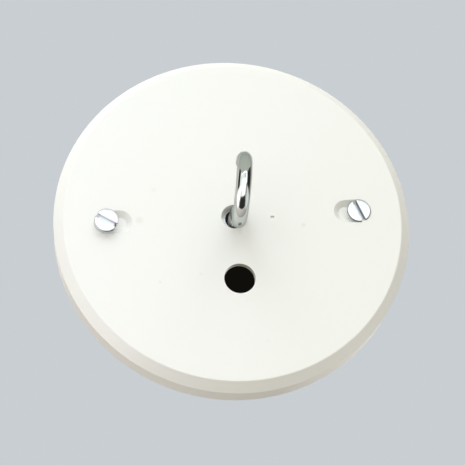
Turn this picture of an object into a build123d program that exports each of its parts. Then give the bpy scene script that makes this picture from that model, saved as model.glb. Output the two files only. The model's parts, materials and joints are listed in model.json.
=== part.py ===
# A round ceiling hook plate. A moulded canopy with a chamfered rim covers the ceiling box, and a
# steel strap behind it carries a wire hook, so the load goes to the two fixing screws and not
# into the plastic. A hole beside the hook lets the lamp's cord out.
# Frame: +Z up to the ceiling, origin on the ceiling plane midway between the screws, face down.
# Left and right are as seen from below with the cord hole nearest, so left is +X.
from build123d import *
import math
import os

os.makedirs("parts", exist_ok=True)

# Canopy plate, in millimetres
plate_dia = 85.0
plate_depth = 8.2  # ceiling to face
face_wall = 1.6
skirt_wall = 1.8
rim_chamfer = 2.25  # 45 degrees
inner_corner = 1.1  # chamfer inside the rim
edge_break = 0.3  # small chamfer on the rim's edges

# Screw pockets: countersunk obrounds, with the screw's hole at the outer end
screw_pitch = 60.3
pocket_width = 5.9
pocket_run = 3.1  # between the centres of the pocket's two ends
pocket_depth = 1.3
pocket_slope = 45.0
pocket_wall = 1.4
screw_hole_play = 0.1  # round the thread
screw_hole_run = 0.5  # inwards from the screw's axis

# Holes in the face
hook_hole_dia = 6.0
hook_boss_wall = 2.0
strap_depth = 3.2  # face to strap
cord_hole_dia = 7.3
cord_hole_y = -15.6

# Ribs behind the face
rib_thickness = 1.2
rib_height = 2.5
rib_angle = 35.0
rib_start = 14.0
rail_start = 8.0
rail_end = 20.0
rail_height = 3.0
strap_side_play = 0.8  # each side, between the strap and its rails

# Bridge strap
strap_width = 13.0
strap_thickness = 1.5
strap_overhang = 5.0  # past the screw's axis
strap_corner = 3.0
strap_slot_width = 5.2
strap_slot_run = 2.8
strap_float_x = -0.7  # the strap hangs loose on its screws, this far off the middle
strap_float_y = 0.6

# Hook: wire, with its plane turned a little from the Y axis
wire_dia = 3.5
hook_bore_play = 0.7  # round the shank, in the strap
hook_turn = 8.9  # degrees
hook_bend_radius = 3.5  # where the shank leaves the face
loop_radius = 7.05  # to the wire's centre line
loop_drop = 13.0  # face to the loop's centre
loop_set = 0.6  # loop's centre beyond the shank's line
tip_past = 6.0  # degrees that the tip goes on past level
tip_chamfer = 0.5
thread_run_out = 1.0  # shank above the lock nut

# Hook's washer and nuts
swivel_play = 0.05  # between the washer and the strap
thread_play = 0.05  # round the shank in its nuts and washer
hook_washer_dia = 8.0
hook_washer_thickness = 0.8
nut_across_flats = 6.0
nut_height = 2.8
lock_nut_height = 1.8
nut_chamfer = 0.4

# Fixing screws: captive, with a narrow neck that their retainers sit on
screw_dia = 3.5
screw_length = 25.0
screw_end_chamfer = 0.6
neck_dia = 3.0
head_dia = 5.6  # countersunk, 90 degrees
head_rim = 0.3
slot_width = 1.0
slot_depth = 1.0
left_head_proud = 1.75  # below the face
right_head_proud = 0.25
left_slot_angle = 32.7
right_slot_angle = 70.4
retainer_dia = 8.0
retainer_thickness = 0.5
retainer_play = 0.05  # round the neck
captive_play = 0.05  # between a hanging screw's thread and its retainer

plate_r = plate_dia / 2
face_z = -plate_depth
inside_z = face_z + face_wall
screw_x = screw_pitch / 2
pocket_mid_x = screw_x - pocket_run / 2
screw_hole_mid_x = screw_x - screw_hole_run / 2
screw_hole_dia = screw_dia + 2 * screw_hole_play
strap_seat_z = face_z + strap_depth
strap_top_z = strap_seat_z + strap_thickness
strap_bore_dia = wire_dia + 2 * hook_bore_play
head_height = head_rim + (head_dia - neck_dia) / 2


def disc(diameter, bottom, height, x=0.0, y=0.0):
    return extrude(Pos(x, y, bottom) * Circle(diameter / 2), height)


def obround(run, width, bottom, height, x, slope=0.0):
    return extrude(Pos(x, 0, bottom) * SlotCenterToCenter(run, width), height, taper=slope)


def canopy_plate():
    """The moulding: shell, screw pockets, hook boss, strap rails and ribs."""
    corner_r = plate_r - skirt_wall
    face_r = plate_r - rim_chamfer
    section = make_face(Polyline(
        (0, face_z), (face_r, face_z), (plate_r, face_z + rim_chamfer), (plate_r, 0),
        (corner_r, 0), (corner_r, inside_z + inner_corner), (corner_r - inner_corner, inside_z),
        (0, inside_z), (0, face_z)))
    rims = [v for v in section.vertices() if min(abs(v.X - face_r), abs(v.X - plate_r)) < 0.01]
    section = chamfer(rims, edge_break)
    shell = revolve(Plane.XZ * section, Axis.Z)

    boss_height = strap_seat_z - inside_z
    boss_width = pocket_width + 2 * pocket_wall
    hook_boss_dia = hook_hole_dia + 2 * hook_boss_wall
    for side in (1, -1):
        shell += obround(pocket_run, boss_width, inside_z, boss_height, side * pocket_mid_x)
    shell += disc(hook_boss_dia, inside_z, boss_height)
    shell += rails() + ribs()

    for side in (1, -1):
        shell -= obround(pocket_run, pocket_width, face_z, pocket_depth, side * pocket_mid_x,
                         pocket_slope)
        shell -= obround(screw_hole_run, screw_hole_dia, face_z, plate_depth,
                         side * screw_hole_mid_x)
    shell -= disc(hook_hole_dia, face_z, plate_depth)
    shell -= disc(cord_hole_dia, face_z, plate_depth, 0, cord_hole_y)
    return shell


def rails():
    """Four low walls that keep the strap in line."""
    length = rail_end - rail_start
    y = strap_width / 2 + strap_side_play + rib_thickness / 2
    rail = Box(length, rib_thickness, rail_height, align=(Align.MIN, Align.CENTER, Align.MIN))
    return [Pos(0, side_y * y, inside_z) * Rot(0, 0, turn) * Pos(rail_start, 0, 0) * rail
            for turn in (0, 180) for side_y in (1, -1)]


def ribs():
    """Four ribs from the rails out to the skirt."""
    length = plate_r - skirt_wall / 2 - rib_start
    rib = Box(length, rib_thickness, rib_height, align=(Align.MIN, Align.CENTER, Align.MIN))
    angles = (rib_angle, 180 - rib_angle, 180 + rib_angle, -rib_angle)
    return [Rot(0, 0, a) * Pos(rib_start, 0, inside_z) * rib for a in angles]


def bridge_strap():
    """Flat strip on the backs of the hook boss and the two pockets."""
    length = 2 * (screw_x + strap_overhang)
    outline = RectangleRounded(length, strap_width, strap_corner)
    strip = extrude(Pos(0, 0, strap_seat_z) * outline, strap_thickness)
    for end in (1, -1):
        strip -= obround(strap_slot_run, strap_slot_width, strap_seat_z, strap_thickness,
                         end * screw_x)
    strip -= disc(strap_bore_dia, strap_seat_z, strap_thickness)
    return Pos(strap_float_x, strap_float_y, 0) * strip


def hook():
    """One wire: threaded shank, a bend back, a straight run and a loop that ends near level."""
    loop_z = face_z - loop_drop
    across = loop_set + hook_bend_radius
    between = math.hypot(across, loop_drop)
    lean = (math.asin((hook_bend_radius + loop_radius) / between)
            - math.atan2(across, loop_drop))
    past = math.radians(tip_past)
    bend_mid = (hook_bend_radius * (math.cos(lean / 2) - 1),
                face_z - hook_bend_radius * math.sin(lean / 2))
    bend_end = (hook_bend_radius * (math.cos(lean) - 1), face_z - hook_bend_radius * math.sin(lean))
    loop_start = (loop_set - loop_radius * math.cos(lean), loop_z + loop_radius * math.sin(lean))
    loop_end = (loop_set + loop_radius * math.cos(past), loop_z + loop_radius * math.sin(past))

    turn = math.radians(hook_turn)
    plane = Plane(origin=(strap_float_x, strap_float_y, 0),
                  x_dir=(-math.sin(turn), math.cos(turn), 0),
                  z_dir=(math.cos(turn), math.sin(turn), 0))
    route = plane * (
        Line((0, shank_top()), (0, face_z))
        + ThreePointArc((0, face_z), bend_mid, bend_end)
        + Line(bend_end, loop_start)
        + ThreePointArc(loop_start, (loop_set, loop_z - loop_radius), loop_end))
    route = Wire(route.edges())
    wire = sweep(Plane(origin=route @ 0, z_dir=route % 0) * Circle(wire_dia / 2), path=route)
    shank_edge = wire.edges().sort_by(Axis.Z)[-1]
    wire = chamfer(shank_edge, thread_run_out / 2)
    wire_circles = [e for e in wire.edges().filter_by(GeomType.CIRCLE)
                    if abs(e.radius - wire_dia / 2) < 0.01]
    tip_edge = ShapeList(wire_circles).sort_by_distance(route @ 1)[0]
    return chamfer(tip_edge, tip_chamfer)


def washer_base():
    return strap_top_z + swivel_play


def shank_top():
    return washer_base() + hook_washer_thickness + nut_height + lock_nut_height + thread_run_out


def ring(outer, inner, bottom, height, x, y):
    return disc(outer, bottom, height, x, y) - disc(inner, bottom, height, x, y)


def nut(bottom, height):
    """Hexagon nut, its corners chamfered on the side away from the strap."""
    corner_r = nut_across_flats / math.sqrt(3)
    blank = extrude(RegularPolygon(corner_r, 6), height)
    turned = disc(2 * corner_r, 0, height)
    turned = chamfer(turned.edges().sort_by(Axis.Z)[-1], nut_chamfer)
    body = (blank & turned) - disc(wire_dia + 2 * thread_play, 0, height)
    return Pos(strap_float_x, strap_float_y, bottom) * body


def neck_length():
    """Under the head to the thread, so that the left screw hangs from its retainer."""
    left_neck_z = face_z - left_head_proud + head_height
    return strap_top_z + retainer_thickness + captive_play - left_neck_z


def screw(x, proud, slot_angle):
    """Slotted countersunk screw, its head standing below the face."""
    head_z = face_z - proud
    neck_z = head_z + head_height
    thread_z = neck_z + neck_length()
    end_z = head_z + screw_length
    head = disc(head_dia, head_z, head_rim, x)
    head += Pos(x, 0, head_z + head_rim) * Cone(
        head_dia / 2, neck_dia / 2, head_height - head_rim,
        align=(Align.CENTER, Align.CENTER, Align.MIN))
    head -= Pos(x, 0, head_z) * Rot(0, 0, slot_angle) * Box(
        2 * head_dia, slot_width, slot_depth, align=(Align.CENTER, Align.CENTER, Align.MIN))
    thread = disc(screw_dia, thread_z, end_z - thread_z, x)
    thread = chamfer(thread.edges().sort_by(Axis.Z)[-1], screw_end_chamfer)
    return head + disc(neck_dia, neck_z, thread_z - neck_z, x) + thread


def retainer(x):
    """Ring pushed over the thread onto the neck, so that the screw can't drop out of the strap."""
    inner = neck_dia + 2 * retainer_play
    return ring(retainer_dia, inner, strap_top_z, retainer_thickness, x, 0)


nut_z = washer_base() + hook_washer_thickness
parts = {
    "canopy_plate": canopy_plate(),
    "bridge_strap": bridge_strap(),
    "hook": hook(),
    "hook_washer": ring(hook_washer_dia, wire_dia + 2 * thread_play, washer_base(),
                        hook_washer_thickness, strap_float_x, strap_float_y),
    "hook_nut": nut(nut_z, nut_height),
    "hook_lock_nut": nut(nut_z + nut_height, lock_nut_height),
    "screw_left": screw(screw_x, left_head_proud, left_slot_angle),
    "screw_right": screw(-screw_x, right_head_proud, right_slot_angle),
    "retainer_left": retainer(screw_x),
    "retainer_right": retainer(-screw_x),
}
for name, shape in parts.items():
    export_step(shape, f"parts/{name}.step")
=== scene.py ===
# Ceiling hook plate: moulded cover, two captive screws and a chromed hook on a zinc-plated strap.
# Metres, +Z up to the ceiling, face down. The photo's left is +X and its top is +Y.
import json
import math
import bmesh
import bpy
from mathutils import Matrix, Quaternion, Vector


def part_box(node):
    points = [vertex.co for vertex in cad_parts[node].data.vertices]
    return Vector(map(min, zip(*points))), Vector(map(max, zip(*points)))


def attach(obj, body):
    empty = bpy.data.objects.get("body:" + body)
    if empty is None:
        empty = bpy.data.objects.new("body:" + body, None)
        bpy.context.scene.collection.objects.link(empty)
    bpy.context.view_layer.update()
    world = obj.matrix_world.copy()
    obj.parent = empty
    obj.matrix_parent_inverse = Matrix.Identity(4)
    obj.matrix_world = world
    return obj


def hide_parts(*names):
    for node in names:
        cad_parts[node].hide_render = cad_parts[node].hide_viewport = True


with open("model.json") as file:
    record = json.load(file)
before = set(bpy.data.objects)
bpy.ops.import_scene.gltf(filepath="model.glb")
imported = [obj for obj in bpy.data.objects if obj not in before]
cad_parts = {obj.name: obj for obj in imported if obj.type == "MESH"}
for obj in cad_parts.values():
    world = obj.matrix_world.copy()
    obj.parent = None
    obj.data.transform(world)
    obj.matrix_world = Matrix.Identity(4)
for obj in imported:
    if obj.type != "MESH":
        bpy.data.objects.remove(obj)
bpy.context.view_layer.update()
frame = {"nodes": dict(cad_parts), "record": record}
mm = 0.001
hair = 0.001 * mm  # corners closer than this are one
mounts = {mount["name"]: mount for mount in frame["record"]["mounts"]}
hookAxis = Vector(frame["record"]["behaviour"]["joints"][0]["pos_m"])
up = Vector((0, 0, 1))


# Small tools

def linear(hexColour):
    values = [int(hexColour[i:i + 2], 16) / 255 for i in (1, 3, 5)]
    return [v / 12.92 if v <= 0.04045 else ((v + 0.055) / 1.055) ** 2.4 for v in values] + [1]


def feed(material, node, links):
    for key, socket in links.items():
        material.node_tree.links.new(socket, node.inputs[key])


def addNode(material, kind, settings=None, links=None):
    node = material.node_tree.nodes.new(kind)
    for key, value in (settings or {}).items():
        if isinstance(key, int) or key in node.inputs:
            node.inputs[key].default_value = value
        else:
            setattr(node, key, value)
    feed(material, node, links or {})
    return node


def newMaterial(name):
    material = bpy.data.materials.new(name)
    material.use_nodes = True
    return material, material.node_tree.nodes["Principled BSDF"]


def toObject(name, bm):
    mesh = bpy.data.meshes.new(name)
    bm.to_mesh(mesh)
    bm.free()
    piece = bpy.data.objects.new(name, mesh)
    bpy.context.scene.collection.objects.link(piece)
    return piece


def combine(base, others, operation):
    # joins, cuts or intersects base with each of the others in turn
    holder = toObject("work", base)
    tools = [toObject("tool", other) for other in others]
    for tool in tools:
        modifier = holder.modifiers.new("combine", "BOOLEAN")
        modifier.operation = operation
        modifier.solver = "EXACT"
        modifier.object = tool
    depsgraph = bpy.context.evaluated_depsgraph_get()
    mesh = bpy.data.meshes.new_from_object(holder.evaluated_get(depsgraph))
    result = bmesh.new()
    result.from_mesh(mesh)
    for piece in [holder] + tools:
        old = piece.data
        bpy.data.objects.remove(piece)
        bpy.data.meshes.remove(old)
    bpy.data.meshes.remove(mesh)
    return result


def roundEdges(bm, width, segments, sharperThan=30):
    sharp = math.radians(sharperThan)
    edges = [e for e in bm.edges if e.is_manifold and e.calc_face_angle(0) > sharp]
    bmesh.ops.bevel(bm, geom=edges, affect="EDGES", offset=width, offset_type="OFFSET",
                    segments=segments, profile=0.5, material=-1, clamp_overlap=True)
    return bm


def finishPiece(name, bm, body, material, replaced=(), smoothBelow=30):
    bmesh.ops.remove_doubles(bm, verts=bm.verts, dist=0.5 * hair)
    bmesh.ops.recalc_face_normals(bm, faces=bm.faces)
    for face in bm.faces:
        face.smooth = True
    piece = toObject(name, bm)
    piece.data.set_sharp_from_angle(angle=math.radians(smoothBelow))
    weighted = piece.modifiers.new("evenFlats", "WEIGHTED_NORMAL")
    weighted.keep_sharp = True
    weighted.weight = 100
    piece.data.materials.append(material)
    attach(piece, body)
    if replaced:
        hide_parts(*replaced)
    return piece


def disc(radius, bottom, top, x=0.0, y=0.0, segments=64, taper=0.0):
    bm = bmesh.new()
    place = Matrix.Translation((x, y, (top + bottom) / 2))
    bmesh.ops.create_cone(bm, cap_ends=True, radius1=radius, radius2=radius - taper,
                          depth=top - bottom, segments=segments, matrix=place)
    return bm


def block(size, centre, turn=0.0):
    bm = bmesh.new()
    place = Matrix.Rotation(math.radians(turn), 4, "Z") @ Matrix.Translation(centre)
    bmesh.ops.create_cube(bm, size=1, matrix=place @ Matrix.Diagonal((*size, 1)))
    return bm


def obround(run, width, bottom, top, x, segments=64, taper=0.0):
    # a disc cut in half along Y, with its halves drawn apart along X
    bm = disc(width / 2, bottom, top, x, 0, segments, taper)
    for vert in bm.verts:
        side = 1 if vert.co.x > x else -1
        vert.co.x += side * run / 2
    return bm


def turned(outline, steps, turns=1, climb=0.0):
    # an outline of (radius, height) turned about Z, which climbs a little at each step of a thread
    bm = bmesh.new()
    verts = [bm.verts.new((r, 0, z)) for r, z in outline]
    edges = [bm.edges.new(pair) for pair in zip(verts, verts[1:])]
    bmesh.ops.spin(bm, geom=verts + edges, cent=(0, 0, 0), axis=up, angle=2 * math.pi * turns,
                   dvec=(0, 0, climb), steps=turns * steps, use_merge=climb == 0)
    bmesh.ops.remove_doubles(bm, verts=bm.verts, dist=hair)
    return bm


def closeRim(bm, height):
    # fills the open ring of edges that lies at one height
    rim = [e for e in bm.edges
           if e.is_boundary and all(abs(v.co.z - height) < hair for v in e.verts)]
    bmesh.ops.contextual_create(bm, geom=rim)


def spun(outline, steps, x=0.0, y=0.0):
    # a closed solid, from an outline that starts and ends on the axis
    bm = turned(outline, steps)
    bmesh.ops.recalc_face_normals(bm, faces=bm.faces)
    bmesh.ops.translate(bm, verts=bm.verts, vec=(x, y, 0))
    return bm


def threadedRod(pitch, crest, root, bottom, top, chamfer, x, y, steps=28):
    # one pitch of thread is wound up the rod, then trimmed by a chamfered blank
    turns = math.ceil((top - bottom) / pitch) + 2
    # radius, and height as a share of the pitch
    thread = [(root, 0.0), (root, 0.16), (crest, 0.44), (crest, 0.60), (root, 0.88), (root, 1.0)]
    outline = [(r, bottom + (share - 1) * pitch) for r, share in thread]
    bm = turned(outline, steps, turns, pitch / steps)
    for height, normal in ((bottom, (0, 0, -1)), (top, (0, 0, 1))):
        bmesh.ops.bisect_plane(bm, geom=bm.verts[:] + bm.edges[:] + bm.faces[:],
                               plane_co=(0, 0, height), plane_no=normal, clear_outer=True)
        closeRim(bm, height)
    bmesh.ops.recalc_face_normals(bm, faces=bm.faces)
    bmesh.ops.translate(bm, verts=bm.verts, vec=(x, y, 0))
    blankR = crest * 1.01
    blank = spun([(0, bottom), (blankR, bottom), (blankR, top - chamfer),
                  (blankR - chamfer, top), (0, top)], steps=32, x=x, y=y)
    return combine(bm, [blank], "INTERSECT")


# Cover: one white moulding, hollow behind, with bosses, rails and ribs

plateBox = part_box("canopy_plate")
outlet = mounts["cord_outlet"]
outletR = outlet["dims"]["r_mm"] * mm
outletY = outlet["pos_m"][1]
cover = {
    "faceWall": 1.6 * mm, "skirtWall": 1.8 * mm, "rimChamfer": 2.25 * mm, "innerCorner": 1.1 * mm,
    "faceRoll": 0.6 * mm, "rollSteps": 5, "edgeRound": 0.16 * mm, "steps": 288,
    "screwPitch": mounts["box_screws"]["dims"]["spacing_x_mm"] * mm,
    "pocketWidth": 5.9 * mm, "pocketRun": 3.1 * mm, "pocketDepth": 1.3 * mm,
    "pocketWall": 1.4 * mm, "screwHole": 3.7 * mm, "screwHoleRun": 0.5 * mm,
    "hookHole": 6.0 * mm, "hookBossWall": 2.0 * mm, "strapDepth": 3.2 * mm,
    "ribThickness": 1.2 * mm, "ribHeight": 2.5 * mm, "ribAngle": 35, "ribStart": 14 * mm,
    "railStart": 8 * mm, "railEnd": 20 * mm, "railHeight": 3.0 * mm, "railY": 7.9 * mm,
}
plateR = plateBox[1][0]
faceZ = plateBox[0][2]
insideZ = faceZ + cover["faceWall"]
screwX = cover["screwPitch"] / 2
pocketX = screwX - cover["pocketRun"] / 2
seatZ = faceZ + cover["strapDepth"]


def coverShell():
    c = cover
    cornerR = plateR - c["skirtWall"]
    # the face rolls over into the chamfer on a soft radius
    chamferAngle = math.radians(45)
    rollR = plateR - c["rimChamfer"] - c["faceRoll"] * math.tan(chamferAngle / 2)
    angles = [chamferAngle * i / c["rollSteps"] for i in range(c["rollSteps"] + 1)]
    roll = [(rollR + c["faceRoll"] * math.sin(a), faceZ + c["faceRoll"] * (1 - math.cos(a)))
            for a in angles]
    bm = turned([*roll, (plateR, faceZ + c["rimChamfer"]), (plateR, 0),
                 (cornerR, 0), (cornerR, insideZ + c["innerCorner"]),
                 (cornerR - c["innerCorner"], insideZ)], c["steps"])
    for height in (faceZ, insideZ):
        closeRim(bm, height)
    bmesh.ops.recalc_face_normals(bm, faces=bm.faces)
    return bm


def coverMesh():
    c = cover
    # bosses, rails and ribs start a little way inside the face wall
    sunk = insideZ - c["faceWall"] / 4
    added = [disc(c["hookHole"] / 2 + c["hookBossWall"], sunk, seatZ)]
    for side in (1, -1):
        added.append(obround(c["pocketRun"], c["pocketWidth"] + 2 * c["pocketWall"],
                             sunk, seatZ, side * pocketX))
    railMid = (c["railStart"] + c["railEnd"]) / 2
    railSize = (c["railEnd"] - c["railStart"], c["ribThickness"], c["railHeight"] + insideZ - sunk)
    for turn in (0, 180):
        for side in (1, -1):
            centre = (railMid, side * c["railY"], sunk + railSize[2] / 2)
            added.append(block(railSize, centre, turn))
    # the ribs reach a little way into the skirt
    ribEnd = plateR - c["skirtWall"] + c["skirtWall"] / 4
    ribSize = (ribEnd - c["ribStart"], c["ribThickness"], c["ribHeight"] + insideZ - sunk)
    ribCentre = ((ribEnd + c["ribStart"]) / 2, 0, sunk + ribSize[2] / 2)
    for turn in (c["ribAngle"], 180 - c["ribAngle"], 180 + c["ribAngle"], -c["ribAngle"]):
        added.append(block(ribSize, ribCentre, turn))
    bm = combine(coverShell(), added, "UNION")

    past = 1 * mm  # the cutters pass the wall by this much
    below, above = faceZ - past, past
    cuts = [disc(c["hookHole"] / 2, below, above, segments=96),
            disc(outletR, below, above, 0, outletY, segments=96)]
    # the pockets' sides slope at 45 degrees, so their cutters taper as much as they are deep
    deep = c["pocketDepth"] + past
    for side in (1, -1):
        cuts.append(obround(c["pocketRun"], c["pocketWidth"] + 2 * past, below, below + deep,
                            side * pocketX, segments=96, taper=deep))
    bm = combine(bm, cuts, "DIFFERENCE")
    bmesh.ops.remove_doubles(bm, verts=bm.verts, dist=2 * hair)
    roundEdges(bm, c["edgeRound"], segments=3)
    holes = [obround(c["screwHoleRun"], c["screwHole"], below, above,
                     side * (screwX - c["screwHoleRun"] / 2)) for side in (1, -1)]
    return combine(bm, holes, "DIFFERENCE")


# Materials: gloss is the roughness from and to

urea = {
    "gloss": (0.36, 0.48), "skin": 1.11 * mm, "skinDepth": 0.05 * mm,
    # painted shade: the tone goes from unshaded to shaded along a line, by these shares at its
    # ends
    "unshaded": "#F7F7F4", "paintedShade": "#EEEEE6", "shadeAlong": (1, 0.3, 0), "shadeReach": 38 * mm,
    "shadeShare": (0.05, 0.95), "patch": 16.7 * mm, "patchTone": 0.1,
    "holeShade": "#9C988C", "holeShadeDepth": 0.05 * mm,
    "markCore": 0.5,  # share of a mark's radius that has its full colour
    # gate scar with its halo, pips and a smudge on the face: x, y and radius in mm, colour
    "marks": [(-9.14, -0.5, 1.5, "#F4F4ED"), (-8.95, -0.5, 0.36, "#A4A49A"),
              (-9.35, -0.5, 0.36, "#A4A49A"), (-9.3, -2.9, 0.5, "#EFEFE8"),
              (-16.4, -3.0, 0.6, "#E6E6DD"), (22.4, 0.2, 1.1, "#EEEEE7"),
              (18.5, 7.7, 0.7, "#F0F0E9"), (18.6, -15.5, 0.5, "#EEEEE6"),
              (-30.8, -9.9, 0.5, "#EDEDE5"), (9.0, -14.0, 0.5, "#EEEEE6"),
              (-5.0, -31.1, 0.5, "#EDEDE5")],
}


def mouldedUrea():
    # white urea moulding: satin skin from the polished tool, so highlights are broad and soft
    u = urea
    material, shader = newMaterial("mouldedUrea")
    place = addNode(material, "ShaderNodeTexCoord").outputs["Object"]
    cloud = addNode(material, "ShaderNodeTexNoise",
                    {"Scale": 1 / u["patch"], "Detail": 3, "Roughness": 0.5}, {"Vector": place})
    # painted shade: one side of the moulding is drawn a little darker, as light falls off across
    # it; soft patches of random tone on top
    across = addNode(material, "ShaderNodeVectorMath",
                     {"operation": "DOT_PRODUCT", 1: u["shadeAlong"]}, {0: place})
    paintedShade = addNode(material, "ShaderNodeMapRange",
                   {"From Min": u["shadeReach"], "From Max": -u["shadeReach"],
                    "To Min": u["shadeShare"][0], "To Max": u["shadeShare"][1]},
                   {"Value": across.outputs["Value"]})
    drift = addNode(material, "ShaderNodeMapRange",
                    {"To Min": -u["patchTone"], "To Max": u["patchTone"]},
                    {"Value": cloud.outputs["Fac"]})
    tone = addNode(material, "ShaderNodeMath", {"operation": "ADD"},
                   {0: paintedShade.outputs["Result"], 1: drift.outputs["Result"]})
    tint = addNode(material, "ShaderNodeMix",
                   {"data_type": "RGBA", 6: linear(u["unshaded"]), 7: linear(u["paintedShade"])},
                   {0: tone.outputs["Value"]})
    # the tool's polish is finer than this, and is drawn coarse so that it shows
    skin = addNode(material, "ShaderNodeTexNoise",
                   {"Scale": 1 / u["skin"], "Detail": 2, "Roughness": 0.6}, {"Vector": place})
    gloss = addNode(material, "ShaderNodeMapRange",
                    {"To Min": u["gloss"][0], "To Max": u["gloss"][1]},
                    {"Value": cloud.outputs["Fac"]})
    bump = addNode(material, "ShaderNodeBump", {"Strength": 0.05, "Distance": u["skinDepth"]},
                   {"Height": skin.outputs["Fac"]})
    colour = tint.outputs[2]
    for x, y, radius, shade in u["marks"]:
        reach = addNode(material, "ShaderNodeVectorMath",
                        {"operation": "DISTANCE", 1: (x * mm, y * mm, faceZ)}, {0: place})
        spot = addNode(material, "ShaderNodeMapRange",
                       {"From Min": u["markCore"] * radius * mm, "From Max": radius * mm,
                        "To Min": 1, "To Max": 0},
                       {"Value": reach.outputs["Value"]})
        colour = addNode(material, "ShaderNodeMix", {"data_type": "RGBA", 7: linear(shade)},
                         {0: spot.outputs["Result"], 6: colour}).outputs[2]
    # painted shade: the cord hole's wall is drawn grey, as the shade inside the hole
    level = addNode(material, "ShaderNodeVectorMath", {"operation": "MULTIPLY", 1: (1, 1, 0)},
                    {0: place})
    reach = addNode(material, "ShaderNodeVectorMath",
                    {"operation": "DISTANCE", 1: (0, outletY, 0)}, {0: level.outputs["Vector"]})
    holeShade = addNode(material, "ShaderNodeMapRange",
                     {"From Min": outletR, "From Max": outletR + u["holeShadeDepth"],
                      "To Min": 1, "To Max": 0},
                     {"Value": reach.outputs["Value"]})
    colour = addNode(material, "ShaderNodeMix", {"data_type": "RGBA", 7: linear(u["holeShade"])},
                     {0: holeShade.outputs["Result"], 6: colour}).outputs[2]
    shader.inputs["IOR"].default_value = 1.5
    feed(material, shader, {"Base Color": colour, "Roughness": gloss.outputs["Result"],
                            "Normal": bump.outputs["Normal"]})
    return material


# three tones, gloss, and the width and depth of the tool lines
finishes = {
    "stripZinc": {"tones": ("#DADCDD", "#E2E4E5", "#E8EAEB"), "gloss": (0.2, 0.32),
                  "grain": 0.25 * mm, "depth": 0.005 * mm},
    "nutZinc": {"tones": ("#B4B6B6", "#C6C9CA", "#D2D5D6"), "gloss": (0.22, 0.36),
                "grain": 0.3 * mm, "depth": 0.02 * mm},
    # painted shade: the washer is near black, as the shade in the narrow gap round the hook's
    # shank
    "washerPaintedShade": {"tones": ("#2E3032", "#383A3C", "#424446"), "gloss": (0.35, 0.5),
                    "grain": 0.3 * mm, "depth": 0.02 * mm},
    "screwZinc": {"tones": ("#DCD6EA", "#ECEEF0", "#D4ECF0"), "gloss": (0.24, 0.36),
                  "grain": 0.25 * mm, "depth": 0.01 * mm},
}


def platedSteel(finish, side="", centre=(0, 0, 0), turn=0, stretch=12):
    # rolled or turned steel under bright zinc: a cool grey whose fine tool lines run one way;
    # they are drawn wider than real ones, so that they show; the washer's near-black is painted
    # shade
    f = finishes[finish]
    material, shader = newMaterial(finish + side)
    place = addNode(material, "ShaderNodeTexCoord")
    lines = addNode(material, "ShaderNodeMapping",
                    {"vector_type": "TEXTURE", "Location": centre,
                     "Rotation": (0, 0, math.radians(turn)), "Scale": (stretch, 1, stretch)},
                    {"Vector": place.outputs["Object"]})
    noise = addNode(material, "ShaderNodeTexNoise",
                    {"Scale": 1 / f["grain"], "Detail": 3, "Roughness": 0.6},
                    {"Vector": lines.outputs["Vector"]})
    tint = addNode(material, "ShaderNodeValToRGB", None, {"Fac": noise.outputs["Fac"]})
    dark, mid, light = [linear(tone) for tone in f["tones"]]
    ramp = tint.color_ramp
    ramp.elements[0].position, ramp.elements[1].position = 0.3, 0.7
    ramp.elements[0].color, ramp.elements[1].color = dark, light
    ramp.elements.new(0.5).color = mid
    gloss = addNode(material, "ShaderNodeMapRange",
                    {"To Min": f["gloss"][0], "To Max": f["gloss"][1]},
                    {"Value": noise.outputs["Fac"]})
    bump = addNode(material, "ShaderNodeBump", {"Strength": 0.1, "Distance": f["depth"]},
                   {"Height": noise.outputs["Fac"]})
    shader.inputs["Metallic"].default_value = 1
    feed(material, shader, {"Base Color": tint.outputs["Color"],
                            "Roughness": gloss.outputs["Result"],
                            "Normal": bump.outputs["Normal"]})
    return material


chrome = {
    "bright": "#CED2D0", "edge": "#BEC2C0", "shankGleam": "#F6F6F4", "gloss": (0.06, 0.13),
    "waves": 2.0 * mm, "waveDepth": 0.02 * mm, "shankGleamStart": -0.5 * mm, "shankGleamFull": 0.6 * mm,
}


def chromedWire():
    # bright chrome on drawn wire: near mirror, with faint waves left by drawing and bending
    c = chrome
    material, shader = newMaterial("chromedWire")
    place = addNode(material, "ShaderNodeTexCoord")
    waves = addNode(material, "ShaderNodeTexNoise", {"Scale": 1 / c["waves"], "Detail": 2},
                    {"Vector": place.outputs["Object"]})
    bump = addNode(material, "ShaderNodeBump", {"Strength": 0.15, "Distance": c["waveDepth"]},
                   {"Height": waves.outputs["Fac"]})
    gloss = addNode(material, "ShaderNodeMapRange",
                    {"To Min": c["gloss"][0], "To Max": c["gloss"][1]},
                    {"Value": waves.outputs["Fac"]})
    # painted reflection: the shank inside the cover is drawn pale and not metallic, in place of
    # the light its bright plating reflects
    height = addNode(material, "ShaderNodeSeparateXYZ", None, {0: place.outputs["Object"]})
    plated = addNode(material, "ShaderNodeMapRange",
                     {"From Min": faceZ + c["shankGleamStart"], "From Max": faceZ + c["shankGleamFull"],
                      "To Min": 1, "To Max": 0},
                     {"Value": height.outputs["Z"]})
    skin = addNode(material, "ShaderNodeMix",
                   {"data_type": "RGBA", 6: linear(c["shankGleam"]), 7: linear(c["bright"])},
                   {0: plated.outputs["Result"]})
    shader.inputs["Specular Tint"].default_value = linear(c["edge"])
    feed(material, shader, {"Base Color": skin.outputs[2], "Metallic": plated.outputs["Result"],
                            "Roughness": gloss.outputs["Result"],
                            "Normal": bump.outputs["Normal"]})
    return material


nylon = {"dull": "#DDD8C8", "milk": "#E8E4D8", "cloud": 2.5 * mm, "gloss": 0.42}


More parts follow.
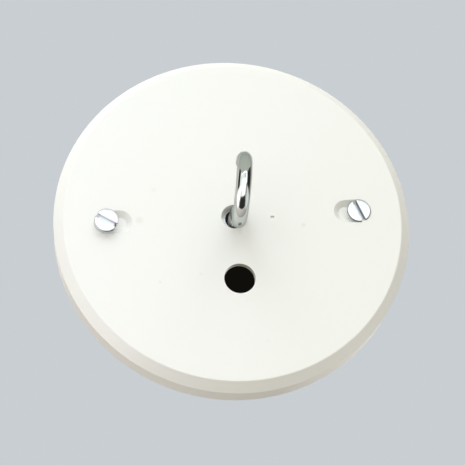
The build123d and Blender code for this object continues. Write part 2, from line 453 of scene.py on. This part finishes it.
def naturalNylon():
    # undyed nylon washer stock: milky, slightly waxy
    material, shader = newMaterial("naturalNylon")
    place = addNode(material, "ShaderNodeTexCoord")
    cloud = addNode(material, "ShaderNodeTexNoise", {"Scale": 1 / nylon["cloud"], "Detail": 2},
                    {"Vector": place.outputs["Object"]})
    tint = addNode(material, "ShaderNodeMix",
                   {"data_type": "RGBA", 6: linear(nylon["dull"]), 7: linear(nylon["milk"])},
                   {0: cloud.outputs["Fac"]})
    shader.inputs["Roughness"].default_value = nylon["gloss"]
    shader.inputs["IOR"].default_value = 1.53
    feed(material, shader, {"Base Color": tint.outputs[2]})
    return material


ureaWhite = mouldedUrea()
stripZinc = platedSteel("stripZinc")
nutZinc = platedSteel("nutZinc", turn=40)
washerPaintedShade = platedSteel("washerPaintedShade")
hookChrome = chromedWire()
nylonWhite = naturalNylon()

finishPiece("coverMoulding", coverMesh(), "plate", ureaWhite, ["canopy_plate"])
print("cover done")


# Hook: one wire, wound along its path by extrusions and spins

hookWire = {
    "radius": 1.75 * mm, "bendR": 3.5 * mm, "loopR": 7.05 * mm, "loopDrop": 13 * mm,
    "loopSet": 0.6 * mm, "tipRound": 0.45 * mm, "tipStretch": 1.0 * mm,
    "turn": 8.9,        # degrees that the hook's plane is swivelled
    "tipPast": 6,       # degrees that the tip leans out past upright
    "sideLean": 0.014,  # sideways lean, as a share of the depth below the face
    "segments": 48, "arcStep": 4, "pitch": 0.6 * mm, "threadRoot": 1.42 * mm,
    "threadLap": 0.3 * mm, "endChamfer": 0.5 * mm,
}


def hookMesh():
    h = hookWire
    turn = math.radians(h["turn"])
    along = Vector((-math.sin(turn), math.cos(turn), 0))
    across = Vector((math.cos(turn), math.sin(turn), 0))
    foot = Vector((hookAxis.x, hookAxis.y, 0))

    def at(s, z):
        return foot + along * s + up * z

    # the straight leans so that bend, straight and loop meet in tangents
    loopZ = faceZ - h["loopDrop"]
    reach = h["loopSet"] + h["bendR"]
    lean = (math.asin((h["bendR"] + h["loopR"]) / math.hypot(reach, h["loopDrop"]))
            - math.atan2(reach, h["loopDrop"]))
    past = math.radians(h["tipPast"])
    stretch = h["tipStretch"] / h["loopR"]
    bendEnd = Vector((h["bendR"] * (math.cos(lean) - 1), faceZ - h["bendR"] * math.sin(lean)))
    loopStart = Vector((h["loopSet"] - h["loopR"] * math.cos(lean),
                        loopZ + h["loopR"] * math.sin(lean)))
    run = loopStart - bendEnd
    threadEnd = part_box("hook_washer")[0][2]

    bm = bmesh.new()
    ring = bmesh.ops.create_circle(bm, radius=h["radius"], segments=h["segments"],
                                   matrix=Matrix.Translation(at(0, threadEnd)))["verts"]
    edges = list({e for v in ring for e in v.link_edges})
    bmesh.ops.contextual_create(bm, geom=edges)

    def extend(move):
        made = bmesh.ops.extrude_edge_only(bm, edges=edges)["geom"]
        verts = [g for g in made if isinstance(g, bmesh.types.BMVert)]
        bmesh.ops.translate(bm, verts=verts, vec=move)
        return [g for g in made if isinstance(g, bmesh.types.BMEdge)]

    def wind(centre, angle):
        steps = max(2, round(math.degrees(abs(angle)) / h["arcStep"]))
        made = bmesh.ops.spin(bm, geom=edges, cent=centre, axis=across, angle=angle,
                              steps=steps, use_merge=False)["geom_last"]
        return [g for g in made if isinstance(g, bmesh.types.BMEdge)]

    edges = extend(up * (faceZ - threadEnd))
    edges = wind(at(-h["bendR"], faceZ), -lean)
    edges = extend(along * run.x + up * run.y)
    edges = wind(at(h["loopSet"], loopZ), math.pi + lean + past - stretch)
    # the last stretch before the cut end is straight
    last = math.pi / 2 + past - stretch / 2
    edges = extend((along * math.cos(last) + up * math.sin(last)) * h["tipStretch"])
    cap = bmesh.ops.contextual_create(bm, geom=edges)["faces"]
    bmesh.ops.recalc_face_normals(bm, faces=bm.faces)
    bmesh.ops.bevel(bm, geom=list(cap[0].edges), affect="EDGES", offset=h["tipRound"],
                    offset_type="OFFSET", segments=6, profile=0.5, material=-1,
                    clamp_overlap=True)
    for vert in bm.verts:
        if vert.co.z < faceZ:
            vert.co += across * h["sideLean"] * (faceZ - vert.co.z)
    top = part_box("hook")[1][2]
    rod = threadedRod(h["pitch"], h["radius"], h["threadRoot"], threadEnd - h["threadLap"], top,
                      h["endChamfer"], hookAxis.x, hookAxis.y)
    return combine(bm, [rod], "UNION")


finishPiece("hookWire", hookMesh(), "hook", hookChrome, ["hook"], smoothBelow=40)
print("hook done")


# Screws: countersunk heads with a milled slot, a narrow neck and a rolled thread

screwSet = {
    "headR": 2.8 * mm, "headRim": 0.3 * mm, "headHeight": 1.6 * mm, "slotWidth": 1.0 * mm,
    "slotDepth": 1.0 * mm, "edgeRound": 0.1 * mm, "neckR": 1.5 * mm, "neckEase": 0.01 * mm,
    "neck": 5.4 * mm, "shankInThread": 0.3 * mm, "threadR": 1.75 * mm,
    "threadRoot": 1.42 * mm, "pitch": 0.6 * mm, "endChamfer": 0.6 * mm,
    # shading in from the rim and along the slot's wall: its colour, and how far each one reaches
    "shade": "#3C4248", "rimStart": 0.22 * mm, "rimFull": 0.05 * mm,
    "wallFull": 0.02 * mm, "wallEnd": 0.07 * mm,
    # place, slot's turn, and strength of the shading at rim and wall
    "left": {"x": screwX, "slot": 32.7, "rim": 0.5, "wall": 0.4},
    "right": {"x": -screwX, "slot": 70.4, "rim": 0.95, "wall": 0.95},
}


def screwMesh(side):
    s = screwSet
    low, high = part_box("screw_" + side)
    x = s[side]["x"]
    headTop = low[2] + s["headHeight"]
    neckTop = headTop + s["neck"]
    shankR = s["neckR"] - s["neckEase"]
    shankTop = neckTop + s["shankInThread"]
    bm = spun([(0, low[2]), (s["headR"], low[2]), (s["headR"], low[2] + s["headRim"]),
               (shankR, headTop), (shankR, shankTop), (0, shankTop)], steps=96, x=x)
    slot = block((4 * s["headR"], s["slotWidth"], 2 * s["slotDepth"]), (0, 0, low[2]),
                 s[side]["slot"])
    bmesh.ops.translate(slot, verts=slot.verts, vec=(x, 0, 0))
    bm = combine(bm, [slot], "DIFFERENCE")
    roundEdges(bm, s["edgeRound"], segments=3)
    rod = threadedRod(s["pitch"], s["threadR"], s["threadRoot"], neckTop, high[2],
                      s["endChamfer"], x, 0)
    return combine(bm, [rod], "UNION")


def screwMetal(side):
    # painted shade: zinc drawn darker at the head's rim and along one wall of its slot, where
    # shade falls
    s = screwSet
    centre = (s[side]["x"], 0, 0)
    turn = s[side]["slot"]
    material = platedSteel("screwZinc", side.capitalize(), centre, turn)
    place = addNode(material, "ShaderNodeTexCoord")
    level = addNode(material, "ShaderNodeMapping",
                    {"vector_type": "TEXTURE", "Location": centre,
                     "Rotation": (0, 0, math.radians(turn))},
                    {"Vector": place.outputs["Object"]})
    flat = addNode(material, "ShaderNodeVectorMath", {"operation": "MULTIPLY", 1: (1, 1, 0)},
                   {0: level.outputs["Vector"]})
    reach = addNode(material, "ShaderNodeVectorMath", {"operation": "LENGTH"},
                    {0: flat.outputs["Vector"]})
    rim = addNode(material, "ShaderNodeMapRange",
                  {"From Min": s["headR"] - s["rimStart"], "From Max": s["headR"] - s["rimFull"],
                   "To Max": s[side]["rim"]},
                  {"Value": reach.outputs["Value"]})
    parts = addNode(material, "ShaderNodeSeparateXYZ", None, {0: level.outputs["Vector"]})
    off = addNode(material, "ShaderNodeMath", {"operation": "SUBTRACT", 1: s["slotWidth"] / 2},
                  {0: parts.outputs["Y"]})
    near = addNode(material, "ShaderNodeMath", {"operation": "ABSOLUTE"},
                   {0: off.outputs["Value"]})
    wall = addNode(material, "ShaderNodeMapRange",
                   {"From Min": s["wallFull"], "From Max": s["wallEnd"],
                    "To Min": s[side]["wall"], "To Max": 0},
                   {"Value": near.outputs["Value"]})
    both = addNode(material, "ShaderNodeMath", {"operation": "MAXIMUM"},
                   {0: rim.outputs["Result"], 1: wall.outputs["Result"]})
    shader = material.node_tree.nodes["Principled BSDF"]
    zinc = shader.inputs["Base Color"].links[0].from_socket
    skin = addNode(material, "ShaderNodeMix", {"data_type": "RGBA", 7: linear(s["shade"])},
                   {0: both.outputs["Value"], 6: zinc})
    feed(material, shader, {"Base Color": skin.outputs[2]})
    return material


for side in ("left", "right"):
    finishPiece("screw" + side.capitalize(), screwMesh(side), "plate",
                screwMetal(side), ["screw_" + side])
print("screws done")


# Strap, nuts and washers: the frame's own solids with their edges broken

softened = {
    "bridge_strap": {"name": "strapSteel", "body": "plate", "slot": "zinc_steel",
                     "material": stripZinc, "round": 0.15 * mm},
    "hook_washer": {"name": "hookWasher", "body": "hook", "slot": "zinc_steel",
                    "material": washerPaintedShade, "round": 0.1 * mm},
    "hook_nut": {"name": "hookNut", "body": "hook", "slot": "zinc_steel",
                 "material": nutZinc, "round": 0.08 * mm},
    "hook_lock_nut": {"name": "hookLockNut", "body": "hook", "slot": "zinc_steel",
                      "material": nutZinc, "round": 0.08 * mm},
    "retainer_left": {"name": "retainerLeft", "body": "plate", "slot": "retainer",
                      "material": nylonWhite, "round": 0.08 * mm},
    "retainer_right": {"name": "retainerRight", "body": "plate", "slot": "retainer",
                       "material": nylonWhite, "round": 0.08 * mm},
}
for node, look in softened.items():
    bm = bmesh.new()
    bm.from_mesh(frame["nodes"][node].data)
    bmesh.ops.remove_doubles(bm, verts=bm.verts, dist=hair)
    bmesh.ops.dissolve_limit(bm, angle_limit=math.radians(1), verts=bm.verts, edges=bm.edges)
    roundEdges(bm, look["round"], segments=2)
    finishPiece(look["name"], bm, look["body"], look["material"], [node])
print("small parts done")


# Studio: pale floor well below, soft lights and a plain pale surround

studio = {
    "floorZ": -0.9, "floorReach": 3.0, "floorColour": "#ECECE9", "farReach": 60.0,
    "farTone": "#D6D8D8", "voidInset": 4 * mm, "voidZ": -0.1 * mm, "voidShadeTone": "#100F0C",
    "skySeen": "#C9CED2", "skyLight": "#FFF8EF", "skySlope": (0.2, 0.07, -0.55), "skyMean": 0.84,
}
lamps = {
    "key": {"place": (0.3, 0.2, -0.75), "aim": (0, 0, 0), "size": (1.2, 0.95), "power": 2.95,
            "colour": "#F1F9FF"},
    "back": {"place": (0, 0.6, -0.5), "aim": (0, 0, 0), "size": (1.0, 0.6), "power": 3.5,
             "colour": "#F1F9FF"},
    "top": {"place": (-0.4, 0.5, 1.2), "aim": (0, 0, 0), "size": (1.2, 1.2), "power": 8.5,
            "colour": "#FFFFFF"},
}
# cards that only the bright metal mirrors: a grey wall behind, dark flags and white bounces
cards = {
    "wallBack": {"centre": (-0.085, 0.38, -0.2), "size": (0.93, 0, 0.84),
                 "glow": "#A6AAA2", "strength": 1.5},
    "flagLeft": {"centre": (0.6, 0.335, -0.2), "size": (0, 0.57, 0.42),
                 "glow": "#2A2A2C", "strength": 1.0},
    "flagRight": {"centre": (-0.6, 0.125, -0.26), "size": (0, 0.49, 0.72),
                  "glow": "#28282A", "strength": 1.0},
    "flagFront": {"centre": (0.03, -0.5, -0.3), "size": (0.78, 0, 0.44),
                  "glow": "#303030", "strength": 1.0},
    "bounceLeft": {"centre": (0.6, -0.25, -0.32), "size": (0, 0.5, 0.76),
                   "glow": "#FFFFFF", "strength": 1.8},
    "bounceBelow": {"centre": (0, -0.2, -0.6), "size": (0.72, 0.64, 0),
                    "glow": "#FFFFFF", "strength": 1.7},
    "keySide": {"centre": (-0.52, 0.3, -0.76), "size": (0.44, 0.8, 0),
                "glow": "#F4F4F8", "strength": 1.7},
    "bounceRight": {"centre": (-0.6, -0.36, -0.1), "size": (0, 0.47, 0.6),
                    "glow": "#D8DCDC", "strength": 1.4},
}


def areaLight(name, place, aim, size, power, colour):
    data = bpy.data.lights.new(name, "AREA")
    data.shape = "RECTANGLE"
    data.size, data.size_y = size
    data.energy = power
    data.color = linear(colour)[:3]
    lamp = bpy.data.objects.new(name, data)
    lamp.location = place
    lamp.rotation_euler = (Vector(aim) - Vector(place)).to_track_quat("-Z", "Y").to_euler()
    lamp.visible_camera = False
    bpy.context.scene.collection.objects.link(lamp)


def ground(name, reach):
    bm = bmesh.new()
    bmesh.ops.create_grid(bm, x_segments=1, y_segments=1, size=reach,
                          matrix=Matrix.Translation((0, 0, studio["floorZ"])))
    return toObject(name, bm)


def glowPaint(name, colour, strength, specular=0.5):
    # black paint that gives off its own light
    paint, shader = newMaterial(name)
    shader.inputs["Base Color"].default_value = (0, 0, 0, 1)
    shader.inputs["Roughness"].default_value = 1
    shader.inputs["Specular IOR Level"].default_value = specular
    shader.inputs["Emission Color"].default_value = linear(colour)
    shader.inputs["Emission Strength"].default_value = strength
    return paint


def hideFrom(piece, rays):
    for ray in rays:
        setattr(piece, "visible_" + ray, False)


allButCamera = ("diffuse", "glossy", "transmission", "volume_scatter", "shadow")

floor = ground("floor", studio["floorReach"])
floorPaint, floorShader = newMaterial("floorPaint")
floorShader.inputs["Base Color"].default_value = linear(studio["floorColour"])
floorShader.inputs["Roughness"].default_value = 0.9
floor.data.materials.append(floorPaint)
floor.visible_camera = False

# the same floor as the camera sees it: evenly pale out to the horizon
floorSeen = ground("floorSeen", studio["farReach"])
floorSeen.data.materials.append(glowPaint("farPaint", studio["farTone"], 1, specular=0))
hideFrom(floorSeen, allButCamera)

for cardName, card in cards.items():
    panel = toObject(cardName, block(card["size"], card["centre"]))
    panel.data.materials.append(glowPaint(cardName + "Paper", card["glow"], card["strength"]))
    hideFrom(panel, ("camera", "diffuse", "shadow"))

# painted shade: a dark disc, like a ceiling void, that only the camera sees, from below, through
# the holes
voidBm = bmesh.new()
bmesh.ops.create_circle(voidBm, cap_ends=True, radius=plateR - studio["voidInset"], segments=48,
                        matrix=Matrix.Translation((0, 0, studio["voidZ"])))
ceilingVoid = toObject("ceilingVoid", voidBm)
voidShadePaint = newMaterial("voidShadePaint")[0]
facing = addNode(voidShadePaint, "ShaderNodeNewGeometry")
clear = addNode(voidShadePaint, "ShaderNodeBsdfTransparent")
black = addNode(voidShadePaint, "ShaderNodeEmission",
                {"Color": linear(studio["voidShadeTone"]), "Strength": 1})
pick = addNode(voidShadePaint, "ShaderNodeMixShader", None,
               {0: facing.outputs["Backfacing"], 1: clear.outputs[0], 2: black.outputs[0]})
feed(voidShadePaint, voidShadePaint.node_tree.nodes["Material Output"], {0: pick.outputs[0]})
ceilingVoid.data.materials.append(voidShadePaint)
hideFrom(ceilingVoid, allButCamera)

for lampName, lamp in lamps.items():
    areaLight(lampName, **lamp)

# the surround looks pale all over, but sheds most of its light from below and from the left
world = bpy.data.worlds.new("surround")
world.use_nodes = True
bpy.context.scene.world = world
pale = world.node_tree.nodes["Background"]
pale.inputs["Color"].default_value = linear(studio["skySeen"])
rays = addNode(world, "ShaderNodeLightPath")
direction = addNode(world, "ShaderNodeTexCoord")
slope = addNode(world, "ShaderNodeVectorMath",
                {"operation": "DOT_PRODUCT", 1: studio["skySlope"]},
                {0: direction.outputs["Generated"]})
glow = addNode(world, "ShaderNodeMath", {"operation": "ADD", 1: studio["skyMean"]},
               {0: slope.outputs["Value"]})
dim = addNode(world, "ShaderNodeBackground", {"Color": linear(studio["skyLight"])},
              {"Strength": glow.outputs["Value"]})
seen = addNode(world, "ShaderNodeMixShader", None,
               {0: rays.outputs["Is Camera Ray"], 1: dim.outputs[0], 2: pale.outputs[0]})
feed(world, world.node_tree.nodes["World Output"], {0: seen.outputs[0]})


# Camera: below the cover and in front of it, looking up at the face

camera = {"place": (0.04081, -0.12639, -0.31610), "aim": (0, -0.00024, faceZ), "roll": -166.14,
          "lens": 109.6, "sensor": 36, "shift": (-0.00335, -0.0323), "clip": (0.01, 20)}
view = bpy.data.cameras.new("camera")
view.lens, view.sensor_width = camera["lens"], camera["sensor"]
view.shift_x, view.shift_y = camera["shift"]
view.clip_start, view.clip_end = camera["clip"]
eye = bpy.data.objects.new("camera", view)
sight = Vector(camera["aim"]) - Vector(camera["place"])
eye.location = camera["place"]
eye.rotation_mode = "QUATERNION"
eye.rotation_quaternion = (sight.to_track_quat("-Z", "Y")
                           @ Quaternion((0, 0, 1), math.radians(camera["roll"])))
bpy.context.scene.collection.objects.link(eye)
bpy.context.scene.camera = eye

bpy.context.scene.view_settings.view_transform = "Standard"
bpy.context.scene.view_settings.look = "None"
